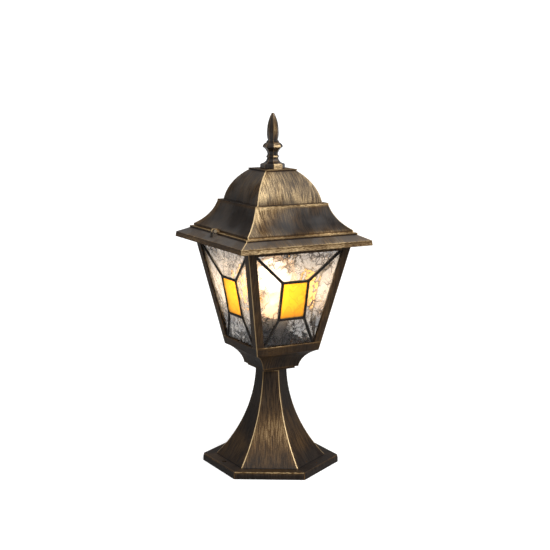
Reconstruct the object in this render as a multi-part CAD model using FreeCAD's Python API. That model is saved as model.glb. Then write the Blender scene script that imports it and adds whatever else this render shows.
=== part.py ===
import FreeCAD, Part
import math
import os

# Garden post lamp: a six-sided pedestal, a square leaded lantern and a hinged roof.
# Millimetres, +Z up, the origin at the centre of the base's underside.
# The lantern's four sides face -Y (front), +X (right), +Y (back) and -X (left, with the hinge).

os.makedirs("parts", exist_ok=True)
V = FreeCAD.Vector
MOVE_GAP = 0.3          # between pieces of different bodies
FIT_GAP = 0.2           # between loose pieces of one body
OVERCUT = 1.0           # how far a cutting tool runs past the face it opens

# Pedestal: half sizes of the six-sided casting are measured square to a flat.
FLANGE_HALF = 74.7
FLANGE_H = 9.0
FLANGE_BEVEL = 0.8
FLANGE_BEVEL_H = 4.0
FLANGE_PLATE = 4.0
FLANGE_RIM = 4.5
FLARE_FOOT_HALF = 60.0
FLARE_R = 186.0
NECK_HALF = 17.1
PEDESTAL_H = 123.0
PEDESTAL_WALL = 3.2
PEDESTAL_TOP = 6.0
PEDESTAL_HIP = 0.9      # flat on the edge between two sides
FIXING_EDGE = 8.4       # from the flange's left or right flat to the middle of its fixing hole
FIXING_R = 3.25
FIXING_BOSS_R = 7.0
FIXING_BOSS_STEP = 1.0
SEAL_T = 1.0
SEAL_SETBACK = 1.5

# Lantern frame: cup, bottom rail and four posts in one casting.
TIER_HALF = 21.8
TIER_H = 3.0
CUP_FOOT_HALF = 25.3
CUP_FOOT_H = 1.6
CUP_FLOOR_T = 7.0
CUP_WALL = 3.0
COVE_R = 29.3
COVE_TOP_HALF = 40.3
COVE_H = 19.6
RAIL_HALF = 43.7
RAIL_STEP_H = 1.5
RAIL_H = 10.4
SILL_T = 7.6
SILL_BEVEL = 0.9
SIDE_H = 131.3          # from the rail's lower edge to the posts' top
POST_TAPER = 0.2065      # outward lean of the sides, in mm for each mm of height
POST_W = 10.4
POST_ROUND = 1.3
FRAME_WALL = 1.5
TOP_RAIL_H = 4.0

# Leaded panels: lead came, four clear glasses and an amber one.
# AMBER_UP and STRAP_UP are measured from the ledge that the panels stand on.
PANEL_LEDGE_H = 4.8
CAME_T = 5.0
CAME_W = 3.0
CAME_HEART = 1.0
CAME_LEAF = 1.0
AMBER_HALF = 17.7
AMBER_UP = 39.5
AMBER_H = 46.6
STRAP_UP = 41.5
STRAP_PITCH = 50.0
STRAP_H = 10.0
STRAP_T = 1.0
STRAP_SETBACK = 2.0
STRAP_SCREW_R = 1.0
STRAP_SCREW_HEAD_R = 2.0
STRAP_SCREW_HEAD_T = 1.4
STRAP_SCREW_L = 8.0

# Eave: rim, sloping ledge, step that the roof stands on. Widths add up outward from the frame's top.
EAVE_NECK_H = 2.6
RIM_H = 6.1
RIM_BATTER = 0.7
RIM_HIP = 0.9
LEDGE_W = 13.1
LEDGE_H = 6.2
STEP_W = 3.8
STEP_H = 2.2
EAVE_WALL = 3.0
EAVE_FLANGE_T = 3.0
EAVE_LAP = 9.5
EAVE_SEAT_W = 8.0
EAVE_SCREW_R = 1.5
EAVE_SCREW_HEAD_R = 2.8
EAVE_SCREW_HEAD_T = 2.0
EAVE_SCREW_L = 12.0
EAVE_SCREW_CLEAR = 0.5

# Roof: hollow skirt, ledge, cushion dome, flat top with a thin lip.
ROOF_OVERHANG = 1.5
ROOF_EDGE_H = 3.0
SKIRT_R = 51.6
SKIRT_W = 22.1
SKIRT_H = 33.6
CREST_H = 1.0
CREST_W = 5.3
DOME_R = 58.7
DOME_W = 23.5
DOME_H = 38.2
TOP_LIP_W = 0.5
TOP_LIP_H = 1.6
ROOF_WALL = 2.5
ROOF_TOP_T = 4.0
ROOF_HIP = 0.9

# Hinge of the roof, in the middle of the left side.
HINGE_OUT = 4.2
HINGE_UP = 2.4
KNUCKLE_R = 2.7
TONGUE_W = 3.4
EAR_W = 1.8
EAR_TOE = 0.6
EAR_BITE = 0.5
PIN_R = 1.3
PIN_HEAD_R = 2.0
PIN_HEAD_T = 0.9

# Finial, eight-sided: height above the roof's top, half size, and the bow of the stretch up to it.
FINIAL = [
    (0.0, 14.1, 0), (5.2, 14.1, 0), (6.1, 13.1, 0), (11.4, 6.7, -8.0), (12.9, 6.3, 0),
    (16.0, 6.3, 1.75), (17.6, 6.0, 0), (26.0, 11.4, -11.0), (27.2, 11.4, 0),
    (31.6, 7.3, 6.4), (33.2, 7.0, 0), (34.6, 5.7, 0), (46.4, 6.5, 32.0), (67.2, 1.3, 46.0),
]
FINIAL_SCREW_R = 2.5
FINIAL_SCREW_L = 18.0
FINIAL_SCREW_HEAD_R = 4.4
FINIAL_SCREW_HEAD_T = 2.5
FINIAL_WASHER_R = 8.0
FINIAL_WASHER_T = 1.2

# Threaded tube, nuts and lamp holder.
TUBE_R = 5.0
TUBE_BORE_R = 3.7
TUBE_TAIL = 4.0
NUT_FLAT = 14.0
NUT_H = 4.5
WASHER_R = 9.0
WASHER_T = 1.5
HOLDER_RISE = 10.0
HOLDER_CAP_T = 2.0
HOLDER_CAP_R = 20.0
HOLDER_COLLAR_R = 8.0
HOLDER_COLLAR_GAP = 1.0
HOLDER_R = 23.0
HOLDER_FOOT_H = 6.0
HOLDER_H = 44.0
HOLDER_EDGE = 1.2
HOLDER_RECESS_R = 13.0
HOLDER_RECESS_H = 8.0
HOLDER_FLOOR_T = 6.0
HOLDER_SCREW_X = 16.5
HOLDER_SCREW_R = 1.5
HOLDER_SCREW_L = 9.0
HOLDER_SCREW_HEAD_R = 2.7
HOLDER_SCREW_HEAD_T = 1.8
SHELL_R = 14.2
SHELL_T = 0.6
SHELL_SINK = 1.0
CONTACT_T = 0.8
CONTACT_BUTTON_R = 3.0
CONTACT_BUTTON_H = 2.4
LEG_Y = 11.0
LEG_W = 4.0
LEG_UP = 2.8

# Bulb, one sealed solid.
BULB_CAP_R = 13.1
BULB_CAP_EDGE = 1.5
BULB_TIP_R = 4.5
BULB_TIP_H = 1.5
BULB_CONE_H = 3.5
BULB_NECK_R = 15.0
BULB_NECK_GAP = 0.3
BULB_NECK_EDGE = 2.2
BULB_GLOBE_R = 30.0
BULB_L = 107.7
JOIN_SIN, JOIN_COS = 0.6, 0.8   # direction from the globe's centre to where the neck's curve meets it

# Wiring in the pedestal.
LEAD_R = 1.2
LEAD_AT = 1.75
LEAD_DROP = 7.0
LEAD_RISE = 18.0
LEAD_BITE = 3.0
LEAD_BENDS = (3.0, 10.0, 8.0)
BLOCK_X = 6.5
BLOCK_D = 15.0
BLOCK_HALF_W = 15.0
BLOCK_Z = 44.0
BLOCK_H = 16.0
BLOCK_PAD_HALF_W = 7.0
BLOCK_PAD_SETBACK = 2.0
BLOCK_SCREW_R = 1.5
BLOCK_SCREW_HEAD_R = 2.6
BLOCK_SCREW_HEAD_T = 1.6
BLOCK_BITE = 6.0
POLE_PITCH = 9.0
POLE_SCREW_R = 2.0
POLE_SCREW_L = 4.0
POLE_SCREW_SINK = 0.6
POLE_SCREW_IN = 4.0
EARTH_PAD_X = -16.0
EARTH_PAD_HALF_W = 5.0
EARTH_PAD_HALF_H = 6.0
EARTH_UP = 8.0          # earth screw above the terminal block's top
EARTH_SCREW_R = 2.0
EARTH_SCREW_HEAD_R = 3.4
EARTH_SCREW_HEAD_T = 2.4
EARTH_BITE = 5.0
EARTH_LUG_T = 1.0
EARTH_LUG_L = 9.0
EARTH_LEAD_END = 5.0
EARTH_BENDS = (7.0, 5.0)

# Heights that follow from the sizes above, from the base upward.
HOLLOW_TOP_Z = PEDESTAL_H - PEDESTAL_TOP
WASHER_Z = HOLLOW_TOP_Z - WASHER_T
TUBE_Z = WASHER_Z - NUT_H - TUBE_TAIL
TIER_Z = PEDESTAL_H + SEAL_T
CUP_FLOOR_Z = TIER_Z + CUP_FLOOR_T
CUP_FOOT_Z = TIER_Z + TIER_H
COVE_Z = CUP_FOOT_Z + CUP_FOOT_H
COVE_TOP_Z = COVE_Z + COVE_H
RAIL_Z = COVE_TOP_Z + RAIL_STEP_H
PANEL_Z = RAIL_Z + PANEL_LEDGE_H
FRAME_TOP_Z = RAIL_Z + SIDE_H
RIM_Z = FRAME_TOP_Z + EAVE_NECK_H
LEDGE_Z = RIM_Z + RIM_H
STEP_Z = LEDGE_Z + LEDGE_H
SEAT_Z = STEP_Z + STEP_H
ROOF_Z = SEAT_Z + MOVE_GAP
SKIRT_TOP_Z = ROOF_Z + SKIRT_H
CREST_Z = SKIRT_TOP_Z + CREST_H
DOME_TOP_Z = CREST_Z + DOME_H
ROOF_TOP_Z = DOME_TOP_Z + TOP_LIP_H
HOLDER_CAP_Z = CUP_FLOOR_Z + HOLDER_RISE
HOLDER_Z = HOLDER_CAP_Z + HOLDER_CAP_T
HOLDER_TOP_Z = HOLDER_Z + HOLDER_H
HOLDER_FLOOR_Z = HOLDER_Z + HOLDER_RECESS_H + HOLDER_FLOOR_T
LEG_Z = HOLDER_Z + LEG_UP
BULB_Z = HOLDER_FLOOR_Z + CONTACT_T + CONTACT_BUTTON_H
EARTH_Z = BLOCK_Z + BLOCK_H + EARTH_UP

# Half widths that follow, from the frame's top outward and inward.
LEAN = math.atan(POST_TAPER)
RIB = CAME_T / math.cos(LEAN)
FRAME_TOP_HALF = RAIL_HALF + POST_TAPER * SIDE_H
ROOF_EDGE_HALF = FRAME_TOP_HALF + ROOF_OVERHANG
STEP_HALF = ROOF_EDGE_HALF + STEP_W
RIM_TOP_HALF = STEP_HALF + LEDGE_W
RIM_HALF = RIM_TOP_HALF + RIM_BATTER
SKIRT_TOP_HALF = ROOF_EDGE_HALF - SKIRT_W
DOME_FOOT_HALF = SKIRT_TOP_HALF - CREST_W
DOME_TOP_HALF = DOME_FOOT_HALF - DOME_W
TOP_LIP_HALF = DOME_TOP_HALF + TOP_LIP_W
EAVE_HOLE_HALF = FRAME_TOP_HALF - EAVE_LAP
EAVE_BORE_HALF = EAVE_HOLE_HALF + EAVE_SEAT_W
EAVE_SCREW_AT = EAVE_BORE_HALF - EAVE_SCREW_HEAD_R - EAVE_SCREW_CLEAR
HINGE_X = -STEP_HALF - HINGE_OUT
HINGE_Z = SEAT_Z + HINGE_UP
FIXING_X = FLANGE_HALF - FIXING_EDGE


def side_half(z):
    """Half width of the lantern's outside at a height."""
    return RAIL_HALF + POST_TAPER * (z - RAIL_Z)


def inner_half(z):
    """Half width of the lantern's inside, where the panels' outer faces lie."""
    return side_half(z) - FRAME_WALL / math.cos(LEAN)


def bow(p, q, radius):
    """Middle point of an arc from p to q: radius above 0 bows out, below 0 hollows in."""
    da, dz = q[0] - p[0], q[1] - p[1]
    length = math.hypot(da, dz)
    rise = abs(radius) - math.sqrt(radius * radius - length * length / 4)
    rise = math.copysign(rise, radius)
    return ((p[0] + q[0]) / 2 + rise * dz / length, (p[1] + q[1]) / 2 - rise * da / length)


def arc_half(p, q, radius, z, wall):
    """Half width at height z inside the arc from p to q, a wall's thickness in from it."""
    m = bow(p, q, radius)
    c = Part.Arc(V(p[0], 0, p[1]), V(m[0], 0, m[1]), V(q[0], 0, q[1])).toShape().Curve.Center
    reach = math.sqrt((radius - wall) ** 2 - (z - c.z) ** 2)
    return c.x + reach if radius > 0 else c.x - reach


def stretch(p, q, radius, sign):
    """Edge between two profile points, on the +X (sign 1) or -X (sign -1) side."""
    a, b = V(sign * p[0], 0, p[1]), V(sign * q[0], 0, q[1])
    if radius:
        m = bow(p, q, radius)
        return Part.Arc(a, V(sign * m[0], 0, m[1]), b).toShape()
    return Part.makeLine(a, b)


def mitred(profile, sides):
    """Solid with 4, 6 or 8 equal sides. Each point is (half width, height, bow radius up to it)."""
    pts = [(p[0], p[1], p[2] if len(p) > 2 else 0) for p in profile]
    edges = [stretch(pts[i - 1], pts[i], pts[i][2], s) for s in (1, -1) for i in range(1, len(pts))]
    for end in (pts[0], pts[-1]):
        edges.append(Part.makeLine(V(-end[0], 0, end[1]), V(end[0], 0, end[1])))
    face = Part.Face(Part.Wire(Part.__sortEdges__(edges)))
    reach = 2.0 * max(p[0] for p in pts)
    face.translate(V(0, -reach, 0))
    strip = face.extrude(V(0, 2 * reach, 0))
    solid = strip
    for k in range(1, sides // 2):
        other = strip.copy()
        other.rotate(V(0, 0, 0), V(0, 0, 1), 360.0 * k / sides)
        solid = solid.common(other)
    return solid


def hips(solid, sides, low, high):
    """Edges where two neighbouring sides of a mitred solid meet, with their middle between two heights."""
    found = []
    for edge in solid.Edges:
        first, last = edge.ParameterRange
        spots = [edge.valueAt(first + t * (last - first)) for t in (0.1, 0.5, 0.9)]
        turns = [math.degrees(math.atan2(p.y, p.x)) * sides / 360.0 - 0.5 for p in spots]
        if low < spots[1].z < high and all(abs(t - round(t)) < 0.001 for t in turns):
            found.append(edge)
    return found


def turned(profile):
    """Solid of revolution about +Z. Each point is (radius, height, bow radius up to it)."""
    pts = [(p[0], p[1], p[2] if len(p) > 2 else 0) for p in profile]
    edges = [stretch(pts[i - 1], pts[i], pts[i][2], 1) for i in range(1, len(pts))]
    edges.append(stretch(pts[-1], pts[0], 0, 1))
    face = Part.Face(Part.Wire(Part.__sortEdges__(edges)))
    return face.revolve(V(0, 0, 0), V(0, 0, 1), 360)


def box(x0, x1, y0, y1, z0, z1):
    return Part.makeBox(x1 - x0, y1 - y0, z1 - z0, V(x0, y0, z0))


def rod(radius, start, length, along):
    return Part.makeCylinder(radius, length, V(*start), V(*along))


def upright(radius, z0, z1, x=0, y=0):
    """Round rod along +Z between two heights."""
    return rod(radius, (x, y, z0), z1 - z0, (0, 0, 1))


def prism(points, sweep):
    """Solid from a flat closed outline moved along a vector."""
    return Part.Face(Part.makePolygon(list(points) + [points[0]])).extrude(sweep)


def tapered_box(hx, hy, z0, z1):
    """Box whose four sides lean out with the lantern's sides."""
    grow = POST_TAPER * (z1 - z0)
    rings = []
    for g, z in ((0, z0), (grow, z1)):
        c = [V(sx * (hx + g), sy * (hy + g), z) for sx, sy in ((-1, -1), (1, -1), (1, 1), (-1, 1))]
        rings.append(Part.makePolygon(c + [c[0]]))
    return Part.makeLoft(rings, True, True)


def hexagon(flat, z, height):
    r = flat / math.sqrt(3)
    pts = [V(r * math.cos(k * math.pi / 3), r * math.sin(k * math.pi / 3), z) for k in range(6)]
    return prism(pts, V(0, 0, height))


def four(shape):
    """Four copies of a shape, a quarter turn apart about +Z."""
    out = []
    for k in range(4):
        s = shape.copy()
        s.rotate(V(0, 0, 0), V(0, 0, 1), 90.0 * k)
        out.append(s)
    return out


def join(shapes):
    out = shapes[0]
    for s in shapes[1:]:
        out = out.fuse(s)
    return out.removeSplitter()


def cut_all(shape, tools):
    for tool in tools:
        shape = shape.cut(tool)
    return shape


def lead(points, bends):
    """Round wire along straight runs joined by tangent arcs."""
    pts = [V(*p) for p in points]
    edges, here = [], pts[0]
    for i, bend in enumerate(bends, 1):
        back, on = (pts[i - 1] - pts[i]).normalize(), (pts[i + 1] - pts[i]).normalize()
        half = math.acos(max(-1.0, min(1.0, back.dot(on)))) / 2
        trim = bend / math.tan(half)
        a, b = pts[i] + back * trim, pts[i] + on * trim
        mid = pts[i] + (back + on).normalize() * (bend / math.sin(half) - bend)
        edges += [Part.makeLine(here, a), Part.Arc(a, mid, b).toShape()]
        here = b
    edges.append(Part.makeLine(here, pts[-1]))
    ring = Part.Wire(Part.makeCircle(LEAD_R, pts[0], pts[1] - pts[0]))
    return Part.Wire(edges).makePipeShell([ring], True, True)


def export(node, shapes):
    shapes = shapes if isinstance(shapes, list) else [shapes]
    solids = [s for shape in shapes for s in shape.Solids]
    out = solids[0] if len(solids) == 1 else Part.makeCompound(solids)
    out.exportStep("parts/" + node + ".step")


# Pedestal. The flare is one arc in section, so all six flats are mitred single-curved faces.
flare_low, flare_high = (FLARE_FOOT_HALF, FLANGE_H), (NECK_HALF, PEDESTAL_H)
pedestal_outside = mitred([
    (FLANGE_HALF, 0), (FLANGE_HALF, FLANGE_H - FLANGE_BEVEL_H), (FLANGE_HALF - FLANGE_BEVEL, FLANGE_H),
    flare_low, (*flare_high, -FLARE_R)], 6)
pedestal_outside = pedestal_outside.makeChamfer(PEDESTAL_HIP, hips(pedestal_outside, 6, 0, PEDESTAL_H))
hollow_low, hollow_high = [
    (arc_half(flare_low, flare_high, -FLARE_R, z, PEDESTAL_WALL), z) for z in (FLANGE_H, HOLLOW_TOP_Z)]
pedestal_hollow = mitred([
    (hollow_low[0], -OVERCUT), hollow_low, (*hollow_high, -(FLARE_R + PEDESTAL_WALL))], 6)
recess_half = FLANGE_HALF - FLANGE_RIM
flange_recess = mitred([(recess_half, -OVERCUT), (recess_half, FLANGE_H - FLANGE_PLATE)], 6)
block_x1, block_z1 = BLOCK_X + BLOCK_D, BLOCK_Z + BLOCK_H
bosses = [upright(FIXING_BOSS_R, 0, FLANGE_H - FIXING_BOSS_STEP, s * FIXING_X) for s in (-1, 1)]
block_pad = box(block_x1, FLANGE_HALF, -BLOCK_PAD_HALF_W, BLOCK_PAD_HALF_W,
                BLOCK_Z + BLOCK_PAD_SETBACK, block_z1 - BLOCK_PAD_SETBACK)
earth_pad = box(-FLANGE_HALF, EARTH_PAD_X, -EARTH_PAD_HALF_W, EARTH_PAD_HALF_W,
                EARTH_Z - EARTH_PAD_HALF_H, EARTH_Z + EARTH_PAD_HALF_H)
pedestal = pedestal_outside.cut(pedestal_hollow).cut(flange_recess)
pedestal = join([pedestal] + [p.common(pedestal_outside) for p in bosses + [block_pad, earth_pad]])
block_screw_at = (POLE_PITCH / 2, (BLOCK_Z + block_z1) / 2)
tube_hole = upright(TUBE_R + FIT_GAP, HOLLOW_TOP_Z - OVERCUT, CUP_FLOOR_Z + OVERCUT)
pedestal = cut_all(pedestal, [tube_hole] + [
    upright(FIXING_R, -OVERCUT, FLANGE_H + OVERCUT, s * FIXING_X) for s in (-1, 1)] + [
    rod(BLOCK_SCREW_R, (block_x1, *block_screw_at), BLOCK_BITE, (1, 0, 0)),
    rod(EARTH_SCREW_R, (EARTH_PAD_X, 0, EARTH_Z), EARTH_BITE, (-1, 0, 0))])
export("pedestal", pedestal)
seal_half = NECK_HALF - SEAL_SETBACK
export("neck_seal", mitred([(seal_half, PEDESTAL_H), (seal_half, TIER_Z)], 6).cut(tube_hole))

# Lantern frame. The inside is plus-shaped in plan, which leaves a rib in each corner between two panels.
cove_low, cove_high = (CUP_FOOT_HALF, COVE_Z), (COVE_TOP_HALF, COVE_TOP_Z)
frame = mitred([
    (TIER_HALF, TIER_Z), (TIER_HALF, CUP_FOOT_Z), (CUP_FOOT_HALF, CUP_FOOT_Z), cove_low,
    (*cove_high, -COVE_R), (RAIL_HALF, RAIL_Z), (FRAME_TOP_HALF, FRAME_TOP_Z)], 4)
frame = frame.makeFillet(POST_ROUND, hips(frame, 4, RAIL_Z, FRAME_TOP_Z))
cup_low, cup_high = [
    (arc_half(cove_low, cove_high, -COVE_R, z, CUP_WALL), z)
    for z in (CUP_FLOOR_Z, COVE_TOP_Z - RAIL_STEP_H)]
sill_half = RAIL_HALF - SILL_T
wide, narrow = inner_half(PANEL_Z), inner_half(PANEL_Z) - RIB
frame = cut_all(frame, [
    mitred([cup_low, (*cup_high, -(COVE_R + CUP_WALL)), (sill_half, RAIL_Z),
            (sill_half, PANEL_Z + OVERCUT)], 4),
    tapered_box(wide, narrow, PANEL_Z, FRAME_TOP_Z + OVERCUT),
    tapered_box(narrow, wide, PANEL_Z, FRAME_TOP_Z + OVERCUT)])
window_low, window_high = RAIL_Z + RAIL_H, FRAME_TOP_Z - TOP_RAIL_H
low_half, high_half = side_half(window_low) - POST_W, side_half(window_high) - POST_W
window = prism([V(-low_half, -FRAME_TOP_HALF, window_low), V(low_half, -FRAME_TOP_HALF, window_low),
                V(high_half, -FRAME_TOP_HALF, window_high), V(-high_half, -FRAME_TOP_HALF, window_high)],
               V(0, FRAME_TOP_HALF, 0))
bevel_y, bevel_z = -side_half(window_low) - OVERCUT, window_low + OVERCUT
bevel_reach = SILL_BEVEL + 2 * OVERCUT
bevel = prism([V(-low_half, bevel_y, bevel_z - bevel_reach), V(-low_half, bevel_y, bevel_z),
               V(-low_half, bevel_y + bevel_reach, bevel_z)], V(2 * low_half, 0, 0))
eave_seat_z = FRAME_TOP_Z + EAVE_FLANGE_T
eave_shank = upright(EAVE_SCREW_R, eave_seat_z - EAVE_SCREW_L, eave_seat_z, EAVE_SCREW_AT, EAVE_SCREW_AT)
frame = cut_all(frame, four(window) + four(bevel) + [tube_hole] + four(eave_shank))

# Corner straps: flat plates across the ribs, each one clamps the came of two panels.
straps, strap_screws, strap_ways = [], [], []
inward = V(-1, -1, 2 * POST_TAPER).normalize()
near, far = STRAP_SETBACK, STRAP_SETBACK + STRAP_T * math.sqrt(2)
for z in (PANEL_Z + STRAP_UP, PANEL_Z + STRAP_UP + STRAP_PITCH):
    low = z - STRAP_H / 2
    at = inner_half(low) - RIB
    plan = [V(at - near, at, low), V(at, at - near, low), V(at, at - far, low), V(at - far, at, low)]
    grow = POST_TAPER * STRAP_H
    mid = inner_half(z) - RIB - far / 2
    seat = (mid, mid, z)
    shank = rod(STRAP_SCREW_R, seat, STRAP_SCREW_L, -inward)
    way = rod(STRAP_SCREW_R + FIT_GAP, seat, STRAP_SCREW_L, -inward)
    straps += four(prism(plan, V(grow, grow, STRAP_H)).cut(way))
    strap_screws += four(shank.fuse(rod(STRAP_SCREW_HEAD_R, seat, STRAP_SCREW_HEAD_T, inward)))
    strap_ways += four(way)
    frame = cut_all(frame, four(shank))
export("lantern_frame", frame)
export("corner_straps", straps)
export("strap_screws", strap_screws)

# Leaded panels. A point on a panel is (across, up the slope); depth runs inward from the came's outer face.
sin_l, cos_l = math.sin(LEAN), math.cos(LEAN)


def on_panel(across, up, depth):
    """Point of the front panel in space."""
    y = -(inner_half(PANEL_Z) + up * sin_l) + depth * cos_l
    return V(across, y, PANEL_Z + up * cos_l + depth * sin_l)


def slab(points, depth0, depth1):
    """Flat piece of the front panel between two depths."""
    inward_v = V(0, cos_l, sin_l) * (depth1 - depth0)
    return prism([on_panel(a, u, depth0) for a, u in points], inward_v)


def inset(points, gaps):
    """Polygon with each edge, from point i to the next, moved in by its own gap."""
    lines = []
    for i, gap in enumerate(gaps):
        (x0, y0), (x1, y1) = points[i], points[(i + 1) % len(points)]
        length = math.hypot(x1 - x0, y1 - y0)
        dx, dy = (x1 - x0) / length, (y1 - y0) / length
        lines.append((x0 - dy * gap, y0 + dx * gap, dx, dy))
    out = []
    for i in range(len(lines)):
        x0, y0, dx, dy = lines[i - 1]
        x1, y1, ex, ey = lines[i]
        t = ((x1 - x0) * ey - (y1 - y0) * ex) / (dx * ey - dy * ex)
        out.append((x0 + dx * t, y0 + dy * t))
    return out


def panel_half(up):
    return inner_half(PANEL_Z) + up * sin_l - RIB - FIT_GAP


panel_up = (FRAME_TOP_Z - FIT_GAP - CAME_T * sin_l - PANEL_Z) / cos_l
low_l, low_r = (-panel_half(0), 0), (panel_half(0), 0)
high_l, high_r = (-panel_half(panel_up), panel_up), (panel_half(panel_up), panel_up)
a_low, a_high = AMBER_UP / cos_l, (AMBER_UP + AMBER_H) / cos_l
amber = [(-AMBER_HALF, a_low), (AMBER_HALF, a_low), (AMBER_HALF, a_high), (-AMBER_HALF, a_high)]
IN, OUT = False, True   # an edge between two glasses, or one on the panel's outside
cells = {
    "top_glass": ([amber[3], amber[2], high_r, high_l], [IN, IN, OUT, IN]),
    "bottom_glass": ([low_l, low_r, amber[1], amber[0]], [OUT, IN, IN, IN]),
    "left_glass": ([low_l, amber[0], amber[3], high_l], [IN, IN, IN, OUT]),
    "right_glass": ([low_r, high_r, amber[2], amber[1]], [OUT, IN, IN, IN]),
    "amber_glass": (amber, [IN, IN, IN, IN]),
}
under = -2 * CAME_T * math.tan(LEAN)
came = slab([(-panel_half(under), under), (panel_half(under), under), high_r, high_l], 0, CAME_T)
came = came.cut(box(-FRAME_TOP_HALF, FRAME_TOP_HALF, -FRAME_TOP_HALF, FRAME_TOP_HALF, RAIL_Z, PANEL_Z))
panel = {}
for name, (points, outer) in cells.items():
    sight = inset(points, [CAME_W if o else CAME_W / 2 for o in outer])
    glass = inset(points, [CAME_HEART if o else CAME_HEART / 2 for o in outer])
    panel[name] = slab(glass, CAME_LEAF, CAME_T - CAME_LEAF)
    came = came.cut(slab(sight, 0, CAME_T)).cut(panel[name])
panel["came"] = cut_all(came, strap_ways)
for name, shape in panel.items():
    for side, copy in zip(("front", "right", "back", "left"), four(shape)):
        export(side + "_" + name, copy)

# Eave, with the hinge's two ears on the left ledge.
eave = mitred([
    (FRAME_TOP_HALF, FRAME_TOP_Z), (FRAME_TOP_HALF, RIM_Z), (RIM_HALF, RIM_Z),
    (RIM_TOP_HALF, LEDGE_Z), (STEP_HALF, STEP_Z), (STEP_HALF, SEAT_Z)], 4)
eave = eave.makeChamfer(RIM_HIP, hips(eave, 4, RIM_Z, STEP_Z))
web_half = EAVE_BORE_HALF + EAVE_WALL
recess_half = RIM_TOP_HALF - EAVE_WALL
recess = mitred([
    (recess_half, RIM_Z - OVERCUT), (recess_half, LEDGE_Z - EAVE_WALL),
    (STEP_HALF - EAVE_WALL / 2, STEP_Z - EAVE_WALL)], 4)
eave = cut_all(eave, [
    recess.cut(mitred([(web_half, FRAME_TOP_Z), (web_half, SEAT_Z)], 4)),
    mitred([(EAVE_HOLE_HALF, FRAME_TOP_Z - OVERCUT), (EAVE_HOLE_HALF, eave_seat_z),
            (EAVE_BORE_HALF, eave_seat_z), (EAVE_BORE_HALF, SEAT_Z + OVERCUT)], 4)] + four(
    upright(EAVE_SCREW_R + FIT_GAP, FRAME_TOP_Z - OVERCUT, eave_seat_z + OVERCUT,
            EAVE_SCREW_AT, EAVE_SCREW_AT)))


def under_ledge(x):
    """Height half a wall below the left ledge, where the ears are rooted."""
    return STEP_Z + LEDGE_H / LEDGE_W * (x + STEP_HALF) - EAVE_WALL / 2


toe_x, heel_x = HINGE_X - KNUCKLE_R - EAR_TOE, EAR_BITE - STEP_HALF
ear_foot = [V(HINGE_X - KNUCKLE_R, 0, HINGE_Z), V(toe_x, 0, under_ledge(toe_x)),
            V(heel_x, 0, under_ledge(heel_x)), V(heel_x, 0, SEAT_Z - EAR_TOE),
            V(HINGE_X + KNUCKLE_R, 0, HINGE_Z)]
ear_in = TONGUE_W / 2 + MOVE_GAP
ear_out = ear_in + EAR_W
ears = []
for y0 in (ear_in, -ear_out):
    foot = prism(ear_foot, V(0, EAR_W, 0))
    foot.translate(V(0, y0, 0))
    ears.append(foot.fuse(rod(KNUCKLE_R, (HINGE_X, y0, HINGE_Z), EAR_W, (0, 1, 0))))
pin = rod(PIN_R, (HINGE_X, -ear_out, HINGE_Z), 2 * ear_out, (0, 1, 0))
export("eave", join([eave] + ears).cut(pin))
export("eave_screws", four(eave_shank.fuse(
    upright(EAVE_SCREW_HEAD_R, eave_seat_z, eave_seat_z + EAVE_SCREW_HEAD_T, EAVE_SCREW_AT, EAVE_SCREW_AT))))
for y0 in (-ear_out - PIN_HEAD_T, ear_out):
    pin = pin.fuse(rod(PIN_HEAD_R, (HINGE_X, y0, HINGE_Z), PIN_HEAD_T, (0, 1, 0)))
export("hinge_pin", pin)

# Roof: skirt and dome are mitred single-curved faces, the hollow keeps an even wall.
skirt_low, skirt_high = (ROOF_EDGE_HALF, ROOF_Z + ROOF_EDGE_H), (SKIRT_TOP_HALF, SKIRT_TOP_Z)
dome_low, dome_high = (DOME_FOOT_HALF, CREST_Z), (DOME_TOP_HALF, DOME_TOP_Z)
roof = mitred([
    (ROOF_EDGE_HALF, ROOF_Z), skirt_low, (*skirt_high, -SKIRT_R), (SKIRT_TOP_HALF, CREST_Z), dome_low,
    (*dome_high, DOME_R), (TOP_LIP_HALF, DOME_TOP_Z), (TOP_LIP_HALF, ROOF_TOP_Z)], 4)
roof = roof.makeChamfer(
    ROOF_HIP, hips(roof, 4, skirt_low[1], SKIRT_TOP_Z) + hips(roof, 4, CREST_Z, DOME_TOP_Z))
top_under_z = ROOF_TOP_Z - ROOF_TOP_T
skirt_in_low, skirt_in_high = [
    (arc_half(skirt_low, skirt_high, -SKIRT_R, z, ROOF_WALL), z)
    for z in (skirt_low[1], SKIRT_TOP_Z - ROOF_WALL)]
dome_in_low, dome_in_high = [
    (arc_half(dome_low, dome_high, DOME_R, z, ROOF_WALL), z) for z in (CREST_Z, top_under_z)]
edge_in_half = ROOF_EDGE_HALF - ROOF_WALL
roof_hollow = mitred([
    (edge_in_half, ROOF_Z - OVERCUT), (edge_in_half, ROOF_Z + ROOF_EDGE_H / 3), skirt_in_low,
    (*skirt_in_high, -(SKIRT_R + ROOF_WALL)), (dome_in_low[0], CREST_Z - ROOF_WALL),
    dome_in_low, (*dome_in_high, DOME_R - ROOF_WALL)], 4)
tongue = box(HINGE_X, -SKIRT_TOP_HALF, -TONGUE_W / 2, TONGUE_W / 2,
             SEAT_Z + 3 * MOVE_GAP, HINGE_Z + KNUCKLE_R)
tongue = tongue.fuse(rod(KNUCKLE_R, (HINGE_X, -TONGUE_W / 2, HINGE_Z), TONGUE_W, (0, 1, 0)))
export("roof", cut_all(join([roof, tongue]), [
    roof_hollow, rod(PIN_R + MOVE_GAP, (HINGE_X, -TONGUE_W, HINGE_Z), 2 * TONGUE_W, (0, 1, 0)),
    upright(FINIAL_SCREW_R + FIT_GAP, top_under_z - OVERCUT, ROOF_TOP_Z + OVERCUT)]))

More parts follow.
